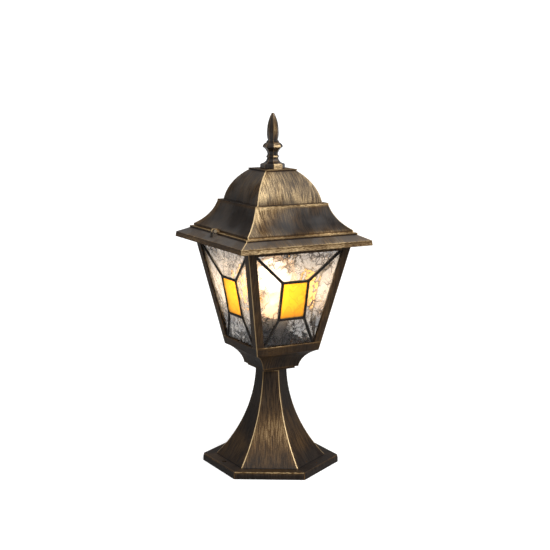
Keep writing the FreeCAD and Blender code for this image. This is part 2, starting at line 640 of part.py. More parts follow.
# Finial with its screw and washer under the roof's top.
finial = mitred([(half, ROOF_TOP_Z + up, r) for up, half, r in FINIAL], 8)
screw_seat = top_under_z - FINIAL_WASHER_T
finial_shank = upright(FINIAL_SCREW_R, screw_seat, screw_seat + FINIAL_SCREW_L)
export("finial", finial.cut(finial_shank))
export("finial_washer", upright(FINIAL_WASHER_R, screw_seat, top_under_z).cut(
    upright(FINIAL_SCREW_R + FIT_GAP, screw_seat, top_under_z)))
export("finial_screw", finial_shank.fuse(
    upright(FINIAL_SCREW_HEAD_R, screw_seat - FINIAL_SCREW_HEAD_T, screw_seat)))

# Threaded tube: it clamps cup, seal and pedestal between two nuts and carries the lamp holder.
tube_body = upright(TUBE_R, TUBE_Z, HOLDER_Z)
export("threaded_tube", tube_body.cut(upright(TUBE_BORE_R, TUBE_Z, HOLDER_Z)))
export("tube_nut_upper", hexagon(NUT_FLAT, CUP_FLOOR_Z, NUT_H).cut(tube_body))
export("tube_washer", upright(WASHER_R, WASHER_Z, HOLLOW_TOP_Z).cut(tube_body))
export("tube_nut_lower", hexagon(NUT_FLAT, WASHER_Z - NUT_H, NUT_H).cut(tube_body))

# Lamp holder: steel cap on the tube, ceramic body, brass shell and centre contact.
collar_z = CUP_FLOOR_Z + NUT_H + HOLDER_COLLAR_GAP
cap = upright(HOLDER_CAP_R, HOLDER_CAP_Z, HOLDER_Z).fuse(upright(HOLDER_COLLAR_R, collar_z, HOLDER_CAP_Z))
holder_screws = []
for x in (-HOLDER_SCREW_X, HOLDER_SCREW_X):
    shank = upright(HOLDER_SCREW_R, HOLDER_CAP_Z, HOLDER_CAP_Z + HOLDER_SCREW_L, x)
    head = upright(HOLDER_SCREW_HEAD_R, HOLDER_CAP_Z - HOLDER_SCREW_HEAD_T, HOLDER_CAP_Z, x)
    holder_screws.append(shank.fuse(head))
export("holder_cap", cut_all(cap, [tube_body] + holder_screws).removeSplitter())
export("holder_screws", holder_screws)
foot_z = HOLDER_Z + HOLDER_FOOT_H
recess_z = HOLDER_Z + HOLDER_RECESS_H
ceramic = turned([
    (HOLDER_RECESS_R, HOLDER_Z), (HOLDER_CAP_R, HOLDER_Z), (HOLDER_CAP_R, foot_z),
    (HOLDER_R, foot_z + HOLDER_R - HOLDER_CAP_R), (HOLDER_R, HOLDER_TOP_Z - HOLDER_EDGE),
    (HOLDER_R - HOLDER_EDGE, HOLDER_TOP_Z), (SHELL_R + FIT_GAP, HOLDER_TOP_Z),
    (SHELL_R + FIT_GAP, HOLDER_FLOOR_Z), (0, HOLDER_FLOOR_Z), (0, recess_z), (HOLDER_RECESS_R, recess_z)])
half_t, half_w = CONTACT_T / 2, LEG_W / 2
leg_ways = [box(-half_w, half_w, y - half_t, y + half_t, recess_z - OVERCUT, HOLDER_FLOOR_Z + OVERCUT)
            for y in (-LEG_Y, LEG_Y)]
export("lamp_holder", cut_all(ceramic, leg_ways + holder_screws))
strip_z = HOLDER_FLOOR_Z + CONTACT_T
export("centre_contact", join([
    box(-half_w, half_w, -LEG_Y - half_t, CONTACT_BUTTON_R, HOLDER_FLOOR_Z, strip_z),
    box(-half_w, half_w, -LEG_Y - half_t, -LEG_Y + half_t, LEG_Z, strip_z),
    upright(CONTACT_BUTTON_R, HOLDER_FLOOR_Z, BULB_Z)]))
shell_z1 = HOLDER_TOP_Z - SHELL_SINK
shell_body = upright(SHELL_R, HOLDER_FLOOR_Z, shell_z1)
export("holder_shell", join([
    shell_body.cut(upright(SHELL_R - SHELL_T, HOLDER_FLOOR_Z, shell_z1)),
    box(-half_w, half_w, LEG_Y - half_t, SHELL_R, HOLDER_FLOOR_Z, strip_z).common(shell_body),
    box(-half_w, half_w, LEG_Y - half_t, LEG_Y + half_t, LEG_Z, strip_z)]))

# Bulb: cap, neck and globe as one sealed solid; neck and globe meet in a common tangent.
globe_z = BULB_Z + BULB_L - BULB_GLOBE_R
join_r, join_z = JOIN_COS * BULB_GLOBE_R, globe_z - JOIN_SIN * BULB_GLOBE_R
neck_bow = (join_r - BULB_NECK_R) / (1 - JOIN_COS)
tip_z = BULB_Z + BULB_TIP_H
cone_z = tip_z + BULB_CONE_H
collar_z = HOLDER_TOP_Z + BULB_NECK_GAP
export("bulb", turned([
    (0, BULB_Z), (BULB_TIP_R, BULB_Z), (BULB_TIP_R, tip_z), (BULB_CAP_R - BULB_CAP_EDGE, cone_z),
    (BULB_CAP_R, cone_z + BULB_CAP_EDGE), (BULB_CAP_R, collar_z), (BULB_NECK_R, collar_z + BULB_NECK_EDGE),
    (BULB_NECK_R, join_z - JOIN_SIN * neck_bow), (join_r, join_z, -neck_bow),
    (BULB_GLOBE_R, globe_z, BULB_GLOBE_R), (0, globe_z + BULB_GLOBE_R, BULB_GLOBE_R)]))

# Terminal block on its pad in the pedestal, leads and earth connection.
block = box(BLOCK_X, block_x1, -BLOCK_HALF_W, BLOCK_HALF_W, BLOCK_Z, block_z1)
pole_x = (BLOCK_X + block_x1) / 2
pole_screws = []
for y in (-POLE_PITCH, 0, POLE_PITCH):
    block = block.cut(upright(LEAD_R + FIT_GAP / 2, BLOCK_Z, block_z1, pole_x, y))
    for z in (BLOCK_Z + POLE_SCREW_IN, block_z1 - POLE_SCREW_IN):
        block = block.cut(rod(POLE_SCREW_R, (BLOCK_X, y, z), POLE_SCREW_SINK + POLE_SCREW_L, (1, 0, 0)))
        pole_screws.append(rod(POLE_SCREW_R, (BLOCK_X + POLE_SCREW_SINK, y, z), POLE_SCREW_L, (1, 0, 0)))
block_shank = rod(BLOCK_SCREW_R, (BLOCK_X, *block_screw_at), BLOCK_D + BLOCK_BITE, (1, 0, 0))
export("terminal_block", block.cut(block_shank))
export("terminal_screws", pole_screws)
export("block_screw", block_shank.fuse(
    rod(BLOCK_SCREW_HEAD_R, (BLOCK_X, *block_screw_at), BLOCK_SCREW_HEAD_T, (-1, 0, 0))))
lead_z = (LEG_Z + recess_z) / 2 + LEAD_R
clamp_z = block_z1 - LEAD_BITE
for name, s in (("live_lead", -1), ("neutral_lead", 1)):
    export(name, lead([
        (0, s * (LEG_Y - half_t), lead_z), (0, s * LEAD_AT, lead_z), (0, s * LEAD_AT, TUBE_Z - LEAD_DROP),
        (pole_x, s * POLE_PITCH, block_z1 + LEAD_RISE), (pole_x, s * POLE_PITCH, clamp_z)], LEAD_BENDS))
lug_x = EARTH_PAD_X + EARTH_LUG_T
end_x = lug_x + LEAD_R
export("earth_lead", lead([
    (pole_x, 0, clamp_z), (pole_x, 0, EARTH_Z + LEAD_RISE), (end_x, 0, EARTH_Z + LEAD_RISE),
    (end_x, 0, EARTH_Z + EARTH_LEAD_END)], EARTH_BENDS))
earth_shank = rod(EARTH_SCREW_R, (lug_x, 0, EARTH_Z), EARTH_LUG_T + EARTH_BITE, (-1, 0, 0))
lug = rod(2 * EARTH_SCREW_R, (EARTH_PAD_X, 0, EARTH_Z), EARTH_LUG_T, (1, 0, 0)).fuse(
    box(EARTH_PAD_X, lug_x, -EARTH_SCREW_R, EARTH_SCREW_R, EARTH_Z, EARTH_Z + EARTH_LUG_L)).removeSplitter()
export("earth_lug", lug.cut(earth_shank))
export("earth_screw", earth_shank.fuse(
    rod(EARTH_SCREW_HEAD_R, (lug_x, 0, EARTH_Z), EARTH_SCREW_HEAD_T, (1, 0, 0))))
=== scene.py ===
import math

import bpy
import numpy as np
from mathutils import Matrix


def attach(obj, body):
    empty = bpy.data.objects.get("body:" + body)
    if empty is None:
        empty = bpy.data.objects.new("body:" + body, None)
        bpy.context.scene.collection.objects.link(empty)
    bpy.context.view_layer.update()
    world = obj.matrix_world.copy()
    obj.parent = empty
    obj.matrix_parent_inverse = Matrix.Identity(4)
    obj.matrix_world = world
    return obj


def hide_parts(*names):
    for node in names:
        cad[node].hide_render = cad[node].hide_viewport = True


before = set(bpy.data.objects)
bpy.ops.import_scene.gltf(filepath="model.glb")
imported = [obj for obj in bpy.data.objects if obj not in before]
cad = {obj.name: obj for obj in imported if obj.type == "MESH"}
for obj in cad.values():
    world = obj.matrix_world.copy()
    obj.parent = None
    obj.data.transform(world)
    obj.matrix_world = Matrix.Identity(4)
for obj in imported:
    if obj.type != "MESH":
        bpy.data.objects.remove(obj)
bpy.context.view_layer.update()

# Pedestal: one hollow six-sided casting in aluminium, painted dark bronze. Gold paint is dry brushed
# down its flats and over the ridges between them. Two screws through the flange hold it to the ground.


def add(tree, kind, feeds=None, **settings):
    """One shader node; each feed is a socket to link from or a plain value."""
    node = tree.nodes.new(kind)
    for key, value in settings.items():
        setattr(node, key, value)
    for key, value in (feeds or {}).items():
        if isinstance(value, bpy.types.NodeSocket):
            tree.links.new(value, node.inputs[key])
        else:
            node.inputs[key].default_value = value
    return node


def calc(tree, operation, *values):
    """Result of one Math node."""
    return add(tree, "ShaderNodeMath", dict(enumerate(values)), operation=operation).outputs[0]


def times(tree, first, second):
    """Product of two values."""
    return calc(tree, "MULTIPLY", first, second)


def minus(tree, first, second):
    """First value less the second."""
    return calc(tree, "SUBTRACT", first, second)


def scaled(tree, value, factor, start):
    """Value times a factor, added to a start."""
    return calc(tree, "MULTIPLY_ADD", value, factor, start)


def fade(tree, value, low, high):
    """Smooth step: 0 at low, 1 at high, also where low is the larger."""
    feeds = {"Value": value, "From Min": low, "From Max": high}
    return add(tree, "ShaderNodeMapRange", feeds, interpolation_type="SMOOTHSTEP").outputs["Result"]


def mix(tree, share, first, second):
    """Colour between two colours by a share from 0 to 1."""
    return add(tree, "ShaderNodeMix", {0: share, 6: first, 7: second}, data_type="RGBA").outputs[2]


def grain(tree, vector, scale=1.0, detail=2.0, rough=0.5):
    """Noise value, mostly between 0.3 and 0.7."""
    feeds = {"Vector": vector, "Scale": scale, "Detail": detail, "Roughness": rough}
    return add(tree, "ShaderNodeTexNoise", feeds).outputs[0]


def stretched(tree, axes, scales):
    """Vector of three values, each times its own scale."""
    values = [times(tree, axis, scale) for axis, scale in zip(axes, scales)]
    return add(tree, "ShaderNodeCombineXYZ", dict(enumerate(values))).outputs[0]


def effect(name, inputs, outputs):
    """New shader node group: its tree, the sockets it is given and the sockets it puts out."""
    tree = bpy.data.node_groups.new(name, "ShaderNodeTree")
    for way, sockets in (("INPUT", inputs), ("OUTPUT", outputs)):
        for label, kind in sockets.items():
            tree.interface.new_socket(name=label, in_out=way, socket_type="NodeSocket" + kind)
    return tree, tree.nodes.new("NodeGroupInput").outputs, tree.nodes.new("NodeGroupOutput").inputs


def use(tree, group, feeds):
    """Outputs of a group placed in a material with its own values."""
    return add(tree, "ShaderNodeGroup", feeds, node_tree=group).outputs


def new_material(name, **plain):
    """Material with one Principled shader, plain values set on the shader's own sockets."""
    material = bpy.data.materials.new(name)
    material.use_nodes = True
    shader = material.node_tree.nodes["Principled BSDF"].inputs
    for key, value in plain.items():
        shader[key.replace("_", " ")].default_value = value
    return material, material.node_tree, shader


def position(tree):
    """Place of a point in the lamp's own frame, in metres."""
    return tree.nodes.new("ShaderNodeTexCoord").outputs["Object"]


def emboss(tree, shader, height, strength, depth):
    """Bump on a surface from a height of about 0 to 1, times a depth in metres."""
    bump = add(tree, "ShaderNodeBump", {"Height": height, "Strength": strength, "Distance": depth})
    tree.links.new(bump.outputs["Normal"], shader["Normal"])


def paint(material, *pieces):
    """Gives CAD pieces their material."""
    for piece in pieces:
        cad[piece].data.materials.clear()
        cad[piece].data.materials.append(material)


# A point on a casting with equal sides: how far across its side, how far up the slope, how far from the
# ridge to the next side, and which side it is on.
sides_group, given, result = effect(
    "side coordinates", {"Position": "Vector", "Sides": "Float", "Slope": "Float"},
    {"Across": "Float", "Run": "Float", "Ridge": "Float", "Side": "Float"})
tree = sides_group
x, y, z = add(tree, "ShaderNodeSeparateXYZ", {0: given["Position"]}).outputs
turn = calc(tree, "DIVIDE", times(tree, calc(tree, "ARCTAN2", y, x), given["Sides"]), math.tau)
side = calc(tree, "ROUND", turn)
angle = calc(tree, "DIVIDE", times(tree, minus(tree, turn, side), math.tau), given["Sides"])
reach = calc(tree, "SQRT", calc(tree, "ADD", times(tree, x, x), times(tree, y, y)))
across = times(tree, reach, calc(tree, "SINE", angle))
out = times(tree, reach, calc(tree, "COSINE", angle))
half = times(tree, out, calc(tree, "TANGENT", calc(tree, "DIVIDE", math.pi, given["Sides"])))
tree.links.new(across, result["Across"])
tree.links.new(minus(tree, z, times(tree, out, given["Slope"])), result["Run"])
tree.links.new(minus(tree, half, calc(tree, "ABSOLUTE", across)), result["Ridge"])
tree.links.new(calc(tree, "FLOORED_MODULO", side, given["Sides"]), result["Side"])

# Gold dry brushed on dark bronze: a film of fine hairs that run down the slope, or along narrow edges. It is
# denser on some sides, which is partly painted light and shade, in patches, near the ridges and on a side's
# left part, with a worn line of gold along each ridge. The paint below it has clouds of slate grey, and
# painted shade makes it near black in creases without gold.
DARK_BRONZE, HAIR_BRONZE = (0.010, 0.006, 0.004, 1.0), (0.042, 0.031, 0.023, 1.0)
# Painted shade: the colour laid in creases and hollows with next to no gold.
CREASE_SHADE = (0.004, 0.003, 0.0025, 1.0)
DARK_SLATE, PALE_SLATE = (0.030, 0.028, 0.028, 1.0), (0.078, 0.073, 0.071, 1.0)
THIN_GOLD, THIN_GOLD_ON_SLATE = (0.31, 0.155, 0.038, 1.0), (0.36, 0.24, 0.125, 1.0)
FULL_GOLD = (0.86, 0.63, 0.34, 1.0)
# Scale of each kind of mark, across a side, up its slope, and from one side to the next.
SWAY_SCALE, PATCH_SCALE, CLOUD_SCALE = (24.0, 16.0, 3.1), (19.0, 15.0, 5.3), (31.0, 20.0, 9.1)
HAIR_SCALE, STROKE_SCALE = (800.0, 42.0, 11.7), (330.0, 24.0, 7.9)
RUB_SCALE, SPECK_SCALE = (200.0, 1400.0, 4.7), (700.0, 700.0, 2.3)
# Parts of the brushed gold: plain film, hairs, strokes and specks, and rubs where it goes along an edge.
FILM_PART, HAIR_PART, STROKE_PART, SPECK_PART, RUB_PART = 0.2, 0.48, 0.2, 0.22, 0.65
# How far hairs sway and ridge lines wobble, in metres.
HAIR_SWAY, RIDGE_WOBBLE = 0.0007, 0.0012
# A side's share of gold is a sine of its number round a mean, partly painted light and shade that makes some
# sides brighter and others darker, and patches vary it more where there is more.
SIDE_TURN, SIDE_MEAN = 2.2, 0.62
PATCH_GAIN, PATCH_START = 2.2, 0.25
BESIDE_RIDGE, LEAN_REACH = 0.12, 0.9
THINNEST_FILM, FULLEST_FILM = 0.03, 0.95

bronze_group, given, result = effect(
    "brushed bronze",
    {"Across": "Float", "Run": "Float", "Ridge": "Float", "Side": "Float", "Gold": "Float", "Along": "Float",
     "Ridge gold": "Float", "Ridge width": "Float", "Ridge spread": "Float", "Side phase": "Float",
     "Side share": "Float", "Slate": "Float", "Lean": "Float"},
    {"Color": "Color", "Roughness": "Float", "Metallic": "Float", "Height": "Float"})
tree = bronze_group
across, run, ridge, side = given["Across"], given["Run"], given["Ridge"], given["Side"]
bent = scaled(tree, grain(tree, stretched(tree, (across, run, side), SWAY_SCALE)), HAIR_SWAY, across)
hair = grain(tree, stretched(tree, (bent, run, side), HAIR_SCALE), rough=0.7)
stroke = grain(tree, stretched(tree, (bent, run, side), STROKE_SCALE))
rub = grain(tree, stretched(tree, (across, run, side), RUB_SCALE), detail=3.0, rough=0.65)
patch = grain(tree, stretched(tree, (across, run, side), PATCH_SCALE))
cloud = grain(tree, stretched(tree, (across, run, side), CLOUD_SCALE), detail=3.0)
speck = grain(tree, stretched(tree, (across, run, side), SPECK_SCALE), detail=1.0)

hairs = fade(tree, hair, 0.40, 0.60)
down = scaled(tree, hairs, HAIR_PART, FILM_PART)
down = scaled(tree, fade(tree, stroke, 0.38, 0.64), STROKE_PART, down)
down = scaled(tree, fade(tree, speck, 0.35, 0.65), SPECK_PART, down)
edgewise = scaled(tree, fade(tree, rub, 0.36, 0.62), RUB_PART, 1.0 - RUB_PART)
texture = scaled(tree, given["Along"], minus(tree, edgewise, down), down)

# Painted light and shade, in part: a sine of the side's number gives some sides more gold than others.
turn = calc(tree, "SINE", scaled(tree, side, SIDE_TURN, given["Side phase"]))
level = times(tree, given["Gold"], scaled(tree, turn, given["Side share"], SIDE_MEAN))
uneven = scaled(tree, level, PATCH_GAIN, PATCH_START)
level = scaled(tree, minus(tree, patch, 0.5), uneven, level)
near_ridge = fade(tree, calc(tree, "DIVIDE", ridge, given["Ridge spread"]), 1.0, 0.0)
level = scaled(tree, times(tree, near_ridge, given["Ridge gold"]), BESIDE_RIDGE, level)
hand = calc(tree, "DIVIDE", across, calc(tree, "ADD", ridge, calc(tree, "ABSOLUTE", across)))
lean = scaled(tree, fade(tree, hand, 0.25, -0.6), 2 * LEAN_REACH, -LEAN_REACH)
level = scaled(tree, level, times(tree, given["Lean"], lean), level)
film = minus(tree, times(tree, calc(tree, "MAXIMUM", level, 0.0), texture), THINNEST_FILM)
film = calc(tree, "MINIMUM", calc(tree, "MAXIMUM", film, 0.0), FULLEST_FILM)

wobble = scaled(tree, minus(tree, stroke, 0.5), RIDGE_WOBBLE, ridge)
line = fade(tree, calc(tree, "DIVIDE", wobble, given["Ridge width"]), 1.0, 0.35)
line = times(tree, line, times(tree, given["Ridge gold"], fade(tree, stroke, 0.1, 0.45)))
gold = calc(tree, "MAXIMUM", film, line)

paler = minus(tree, given["Slate"], 1.0)
slate = times(tree, given["Slate"], fade(tree, cloud, 0.64, 0.38))
slate = calc(tree, "MINIMUM", calc(tree, "MAXIMUM", slate, times(tree, paler, 0.6)), 1.0)
slate = times(tree, slate, scaled(tree, given["Along"], -0.9, 1.0))
below = mix(tree, slate, DARK_BRONZE, mix(tree, paler, DARK_SLATE, PALE_SLATE))
below = mix(tree, times(tree, hairs, 0.45), below, HAIR_BRONZE)
# Painted shade: near black where the listed gold is under 0.1, in creases and hollows.
below = mix(tree, fade(tree, given["Gold"], 0.1, 0.0), below, CREASE_SHADE)
thin = mix(tree, slate, THIN_GOLD, THIN_GOLD_ON_SLATE)
gilt = mix(tree, fade(tree, gold, 0.12, 0.95), thin, FULL_GOLD)
tree.links.new(mix(tree, gold, below, gilt), result["Color"])
tree.links.new(scaled(tree, hair, 0.3, scaled(tree, gold, -0.1, 0.34)), result["Roughness"])
tree.links.new(times(tree, gold, 0.3), result["Metallic"])
tree.links.new(scaled(tree, speck, 0.5, scaled(tree, gold, 0.4, hair)), result["Height"])


def casting(name, sides, slope, gold, *, ridge_width, ridge_spread, side_phase, slate,
            side_share=0.42, gloss=0.0):
    """Brushed bronze for one casting with equal sides.

    A place on its profile is the height less slope times the distance from the axis. gold lists, from the
    foot up: place, density of gold, gold on the ridges, way of the brush and, where it isn't 0, how far the
    gold leans to a side's left part. Where the density is near 0 the paint is near black with painted shade.
    The worn line on a ridge is ridge_width wide, and the denser gold beside it ridge_spread. side_phase and
    side_share say which sides have more gold, and how much, which is partly painted light and shade. slate
    is the share of grey clouds, which are also paler above 1, and gloss the weight of the lacquer."""
    material, tree, shader = new_material(name, Specular_IOR_Level=0.15, Coat_Weight=gloss,
                                          Coat_Roughness=0.16)
    spot = use(tree, sides_group, {"Position": position(tree), "Sides": sides, "Slope": slope})
    low, high = gold[0][0], gold[-1][0]
    share = add(tree, "ShaderNodeMapRange", {"Value": spot["Run"], "From Min": low, "From Max": high})
    ramp = add(tree, "ShaderNodeValToRGB", {"Fac": share.outputs["Result"]})
    stops = ramp.color_ramp.elements
    for i, (place, dense, on_ridge, brush, *leans) in enumerate(gold):
        stop = stops[i] if i < 2 else stops.new(1.0)
        stop.position = (place - low) / (high - low)
        stop.color = (dense, on_ridge, brush, sum(leans))
    amounts = add(tree, "ShaderNodeSeparateColor", {"Color": ramp.outputs["Color"]}).outputs
    feeds = {key: spot[key] for key in ("Across", "Run", "Ridge", "Side")}
    feeds.update(dict(zip(("Gold", "Ridge gold", "Along"), amounts)))
    feeds.update({"Ridge width": ridge_width, "Ridge spread": ridge_spread, "Side phase": side_phase,
                  "Side share": side_share, "Slate": slate, "Lean": ramp.outputs["Alpha"]})
    bronze = use(tree, bronze_group, feeds)
    tree.links.new(bronze["Color"], shader["Base Color"])
    tree.links.new(bronze["Roughness"], shader["Roughness"])
    tree.links.new(bronze["Metallic"], shader["Metallic"])
    emboss(tree, shader, bronze["Height"], strength=0.45, depth=0.0005)
    return material


DOWN, ALONG = 0, 1
PEDESTAL_GOLD = [
    # flange: side, rubbed upper edge and top
    (-0.0750, 0.07, 0.3, ALONG), (-0.0700, 0.07, 0.3, ALONG), (-0.0668, 0.14, 0.2, ALONG),
    (-0.0652, 0.95, 0.2, ALONG), (-0.0638, 0.15, 0.0, ALONG), (-0.0530, 0.12, 0.0, ALONG),
    # crease on the flange, in painted shade, then the flats, with most gold in the middle of their curve
    (-0.0508, 0.00, 0.3, DOWN), (-0.0492, 0.12, 0.9, DOWN), (-0.0400, 0.16, 1.0, DOWN),
    (-0.0100, 0.36, 1.0, DOWN), (0.0250, 0.34, 0.9, DOWN), (0.0600, 0.16, 0.8, DOWN),
    # neck and its rubbed upper edge
    (0.0950, 0.07, 0.6, DOWN), (0.1035, 0.10, 0.6, DOWN), (0.1055, 0.60, 0.6, ALONG)]
paint(casting("bronze on the pedestal", 6, 1.0, PEDESTAL_GOLD, ridge_width=0.0010, ridge_spread=0.006,
              side_phase=5.34, slate=0.1, side_share=0.46), "pedestal")

# Neck seal: a flat six-sided ring cut from black rubber sheet, dull with dust. The nuts on the tube press it
# between the pedestal's top and the lantern's cup, and it keeps rain out of the wiring.
RUBBER, DUSTY_RUBBER = (0.012, 0.012, 0.012, 1.0), (0.035, 0.033, 0.030, 1.0)
rubber, tree, shader = new_material("black seal rubber", Roughness=0.8, Specular_IOR_Level=0.3)
dust = grain(tree, position(tree), scale=600.0, detail=3.0)
tree.links.new(mix(tree, dust, RUBBER, DUSTY_RUBBER), shader["Base Color"])
emboss(tree, shader, dust, strength=0.2, depth=0.0003)
paint(rubber, "neck_seal")

# Lantern frame: cup, bottom rail and four leaning posts in one casting, with the same brushed paint. A nut
# on the threaded tube clamps it to the pedestal. The gold is worn in on post corners and on the sill.
FRAME_GOLD = [
    # foot of the cup, and its cove
    (0.1240, 0.35, 0.3, ALONG), (0.1262, 0.12, 0.3, ALONG), (0.1272, 0.40, 0.3, ALONG),
    (0.1290, 0.12, 0.4, DOWN), (0.1400, 0.12, 0.5, DOWN), (0.1470, 0.16, 0.5, DOWN),
    # lower edge of the rail, the rail, and its edge at the sill
    (0.1482, 0.32, 0.5, ALONG), (0.1492, 0.14, 0.6, ALONG), (0.1500, 0.14, 0.6, ALONG),
    (0.1575, 0.12, 0.7, ALONG), (0.1594, 0.30, 0.7, ALONG), (0.1602, 0.60, 0.7, ALONG),
    # posts
    (0.1612, 0.20, 0.7, DOWN), (0.1750, 0.20, 0.7, DOWN), (0.2500, 0.26, 0.7, DOWN),
    (0.2810, 0.24, 0.6, DOWN)]
paint(casting("bronze on the lantern frame", 4, 0.0, FRAME_GOLD, ridge_width=0.0010, ridge_spread=0.003,
              side_phase=2.35, slate=0.1), "lantern_frame")

# Corner straps, tube, nuts, washers and screws: zinc-plated steel, pressed or turned. The straps lie across
# the corner ribs and hold two panels each; the tube and its nuts clamp cup, seal and pedestal together.
ZINC, DULL_ZINC = (0.62, 0.62, 0.60, 1.0), (0.42, 0.41, 0.38, 1.0)
SCRATCH_SCALE = (2500.0, 2500.0, 150.0)


def plated(name, bright, dull, rough):
    """Metal finish with clouds of dull plating and fine upright scratches."""
    material, tree, shader = new_material(name, Metallic=1.0)
    place = position(tree)
    cloud = grain(tree, place, scale=260.0, detail=4.0)
    tree.links.new(mix(tree, fade(tree, cloud, 0.35, 0.65), bright, dull), shader["Base Color"])
    tree.links.new(scaled(tree, cloud, 0.3, rough), shader["Roughness"])
    axes = add(tree, "ShaderNodeSeparateXYZ", {0: place}).outputs
    scratch = grain(tree, stretched(tree, axes, SCRATCH_SCALE), detail=1.0)
    emboss(tree, shader, scratch, strength=0.15, depth=0.0002)
    return material


paint(plated("zinc plating", ZINC, DULL_ZINC, 0.2),
      "corner_straps", "strap_screws", "threaded_tube", "tube_nut_upper", "tube_nut_lower", "tube_washer",
      "holder_cap", "holder_screws", "eave_screws", "finial_screw", "finial_washer", "terminal_screws",
      "block_screw", "earth_screw")

# Wiring: a pale moulded terminal block, screwed to its pad inside the pedestal, and three leads in plastic
# insulation. Live and neutral run up through the tube to the holder, and earth to its lug on the pedestal.


def insulation(name, low, high, rough):
    """Moulded plastic with slight clouds and a fine matt grain."""
    material, tree, shader = new_material(name, Roughness=rough)
    place = position(tree)
    tree.links.new(mix(tree, grain(tree, place, scale=120.0, detail=3.0), low, high), shader["Base Color"])
    emboss(tree, shader, grain(tree, place, scale=1500.0, detail=1.0), strength=0.15, depth=0.0002)
    return material


paint(insulation("block plastic", (0.62, 0.60, 0.54, 1.0), (0.72, 0.70, 0.66, 1.0), 0.55), "terminal_block")
paint(insulation("brown lead", (0.07, 0.03, 0.015, 1.0), (0.10, 0.05, 0.025, 1.0), 0.5), "live_lead")
paint(insulation("blue lead", (0.01, 0.05, 0.25, 1.0), (0.02, 0.08, 0.32, 1.0), 0.5), "neutral_lead")
paint(insulation("green lead", (0.05, 0.25, 0.02, 1.0), (0.30, 0.35, 0.03, 1.0), 0.5), "earth_lead")

# Lamp holder: a dark glazed ceramic body, held by two screws on a steel cap at the tube's top. Its screw
# shell and centre contact are bright brass, and so is the earth lug on the pedestal.
GLAZE, PALE_GLAZE = (0.018, 0.015, 0.014, 1.0), (0.060, 0.052, 0.048, 1.0)
BRASS, DULL_BRASS = (0.80, 0.58, 0.25, 1.0), (0.60, 0.40, 0.16, 1.0)
ceramic, tree, shader = new_material("dark glaze", Roughness=0.28, Coat_Weight=0.3)
cloud = grain(tree, position(tree), scale=70.0, detail=4.0)
tree.links.new(mix(tree, cloud, GLAZE, PALE_GLAZE), shader["Base Color"])
paint(ceramic, "lamp_holder")
paint(plated("bright contact brass", BRASS, DULL_BRASS, 0.2), "holder_shell", "centre_contact", "earth_lug")

# Glasses: each side has four clear ones round an amber one, cut from hammered cathedral glass 3 mm thick.
# Their edges sit in the channels of the lead came. The bulb's light scattering in the glass is painted on as
# a glow.
LANTERN = "lantern"
BLACK = (0.0, 0.0, 0.0, 1.0)
GLASS_STEP = 0.0011
MARK_SIZE, MARK_DEPTH, INNER_SHARE = 0.0095, 0.0010, 0.6
MARK_JITTER, RIM_SHARPNESS = 0.48, 7.0


def corners_of(piece):
    """Outer and inner corner loops of a flat CAD piece, its outward normal and its two directions.

    The normal is the direction in which the piece is thinnest. Corners are sorted by angle round the middle:
    low left, low right, high right, high left, as seen from outside."""
    mesh = cad[piece].data
    points = np.empty(3 * len(mesh.vertices))
    mesh.vertices.foreach_get("co", points)
    points = np.unique(points.reshape(-1, 3).round(6), axis=0)
    middle = points.mean(axis=0)
    normal = np.linalg.svd(points - middle)[2][2]
    normal *= np.sign(normal[:2] @ middle[:2])
    level = np.cross([0.0, 0.0, 1.0], normal)
    level /= np.linalg.norm(level)
    rise = np.cross(normal, level)
    loops = []
    for sign in (1, -1):
        loop = points[sign * ((points - middle) @ normal) > 0]
        loops.append(loop[np.argsort(np.arctan2((loop - middle) @ rise, (loop - middle) @ level))])
    return loops, normal, level, rise


def hammer_marks(across, up, size, seed):
    """Height of hammered glass, lowest in the middle of a mark and highest at its rim.

    Each mark is a shallow dish, the squared distance to its centre on a jittered lattice; a soft minimum
    of all dishes joins them in rounded rims."""
    rng = np.random.default_rng(seed)
    lattice = np.meshgrid(np.arange(across.min() - size, across.max() + size, size),
                          np.arange(up.min() - size, up.max() + size, size))
    marks = np.stack(lattice, axis=-1).reshape(-1, 2)
    marks = marks + rng.uniform(-MARK_JITTER, MARK_JITTER, marks.shape) * size
    gap = ((across[..., None] - marks[:, 0]) ** 2 + (up[..., None] - marks[:, 1]) ** 2) / size ** 2
    return -np.log(np.exp(-RIM_SHARPNESS * gap).sum(axis=-1)) / RIM_SHARPNESS


def shell(front, rear):
    """Points and quads of a closed plate between two grids of points, front and rear of the same size."""
    rows, columns = front.shape[:2]
    index = np.arange(rows * columns).reshape(rows, columns)
    quads = np.stack([index[:-1, :-1], index[:-1, 1:], index[1:, 1:], index[1:, :-1]], axis=-1)
    quads = quads.reshape(-1, 4)
    rim = np.concatenate([index[0, :-1], index[:-1, -1], index[-1, :0:-1], index[:0:-1, 0]])
    after, behind = np.roll(rim, -1), rows * columns
    edge = np.stack([rim, rim + behind, after + behind, after], axis=-1)
    points = np.concatenate([front.reshape(-1, 3), rear.reshape(-1, 3)])
    return points, np.concatenate([quads, quads[:, ::-1] + behind, edge])


def new_piece(name, points, faces, material, body, slot, stands_for):
    """Smooth mesh object in place, riding on a body and standing for a CAD piece."""
    mesh = bpy.data.meshes.new(name)
    mesh.from_pydata(points.tolist(), [], [face.tolist() for face in faces])
    mesh.polygons.foreach_set("use_smooth", np.ones(len(mesh.polygons), dtype=bool))
    mesh.materials.append(material)
    piece = bpy.data.objects.new(name, mesh)
    bpy.context.collection.objects.link(piece)
    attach(piece, body)
    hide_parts(stands_for)


